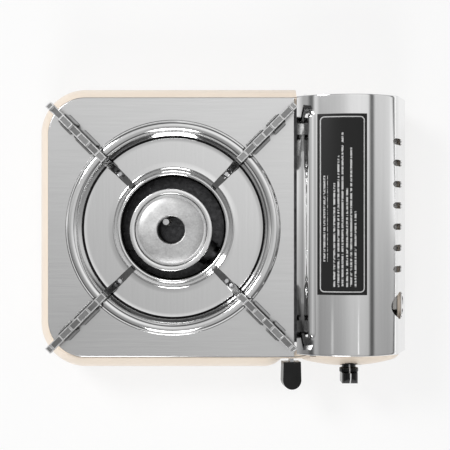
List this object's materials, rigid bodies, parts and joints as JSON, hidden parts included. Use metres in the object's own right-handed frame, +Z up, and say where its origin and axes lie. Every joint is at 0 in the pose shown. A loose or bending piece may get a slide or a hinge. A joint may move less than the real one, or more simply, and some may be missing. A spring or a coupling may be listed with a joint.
{
  "type": "portable butane cassette stove",
  "caption": "Compact portable gas stove with a round burner, folded-steel pan arms on a drip dish, and a domed vented lid over a cartridge bay.",
  "frame": {"origin": "middle of the overall footprint, on the surface that the feet stand on", "axes": "+X towards the cartridge bay (right), +Y to the rear, +Z up; the knob and lock lever face -Y"},
  "size_m": [0.302, 0.2468, 0.088],
  "materials": {
    "cream_paint": "satin cream stove paint",
    "stainless_steel": "bright stainless sheet",
    "lid_steel": "mirror-bright stainless sheet",
    "galvanised_steel": "zinc-plated sheet",
    "cast_aluminium": "die-cast",
    "polished_ring": "turned and polished",
    "cast_cap": "mottled casting",
    "brass": "turned brass",
    "screw_steel": "bright zinc",
    "black_rubber": "matte",
    "black_plastic": "gloss black",
    "lead_silicone": "silicone sleeve",
    "ceramic": "white glazed ceramic",
    "arm_chrome": "nickel-chromed pressed steel",
    "label_black": "black printed plate",
    "marker_white": "white print"
  },
  "bodies": {
    "stove": {"body_shell": "cream_paint", "bottom_pan": "galvanised_steel", "top_plate": "stainless_steel", "bay_partition": "galvanised_steel", "cartridge_cradle": "cream_paint", "burner_shield": "galvanised_steel", "burner_bracket": "galvanised_steel", "burner_bowl": "cast_aluminium", "flame_ring": "polished_ring", "burner_cap": "cast_cap", "mixing_tube": "galvanised_steel", "air_shutter": "brass", "gas_jet": "brass", "gas_pipe": "brass", "pipe_nuts": "brass", "regulator_body": "cast_aluminium", "regulator_cover": "galvanised_steel", "regulator_bracket": "galvanised_steel", "regulator_screws": "screw_steel", "valve_nose": "brass", "nose_seal": "black_rubber", "fork_rails": "galvanised_steel", "piezo_igniter": "black_plastic", "igniter_clip": "galvanised_steel", "spark_lead": "lead_silicone", "electrode_insulator": "ceramic", "spark_electrode": "screw_steel", "hinge_brackets": "galvanised_steel", "hinge_pins": "screw_steel", "plate_screws": "screw_steel", "base_screws": "screw_steel", "feet": "black_rubber", "lever_washers": "screw_steel"},
    "pan_support": {"drip_dish": "stainless_steel", "arm_rear_left": "arm_chrome", "arm_rear_right": "arm_chrome", "arm_front_left": "arm_chrome", "arm_front_right": "arm_chrome", "arm_rivets": "screw_steel"},
    "lid": {"lid_shell": "lid_steel", "lid_hinge_leaf": "lid_steel", "lid_label": "label_black", "lid_buffers": "black_rubber"},
    "knob": {"valve_spindle": "brass", "knob_skirt": "black_plastic", "knob_grip": "black_plastic", "knob_pointer": "marker_white"},
    "lock_lever": {"lever_plate": "galvanised_steel", "lever_handle": "black_plastic"},
    "fork": {"collar_fork": "galvanised_steel"}
  },
  "joints": [
    {"name": "lid_hinge", "type": "hinge", "parent": "stove", "child": "lid", "pos_m": [0.097, 0.115, 0.057], "axis": [-1, 0, 0], "range_deg": [0, 85]},
    {"name": "knob_turn", "type": "hinge", "parent": "stove", "child": "knob", "pos_m": [0.104, -0.1, 0.044], "axis": [0, -1, 0], "range_deg": [0, 110]},
    {"name": "lever_turn", "type": "hinge", "parent": "stove", "child": "lock_lever", "pos_m": [0.104, -0.0944, 0.044], "axis": [0, -1, 0], "range_deg": [0, 22]},
    {"name": "fork_slide", "type": "slide", "parent": "stove", "child": "fork", "axis": [0, -1, 0], "range_m": [0, 0.005]},
    {"name": "pan_support_lift", "type": "slide", "parent": "stove", "child": "pan_support", "axis": [0, 0, 1], "range_m": [0, 0.04]}
  ],
  "couplings": [
    {"joint": "fork_slide", "follows": "lever_turn", "m_per_rad": 0.0129}
  ]
}
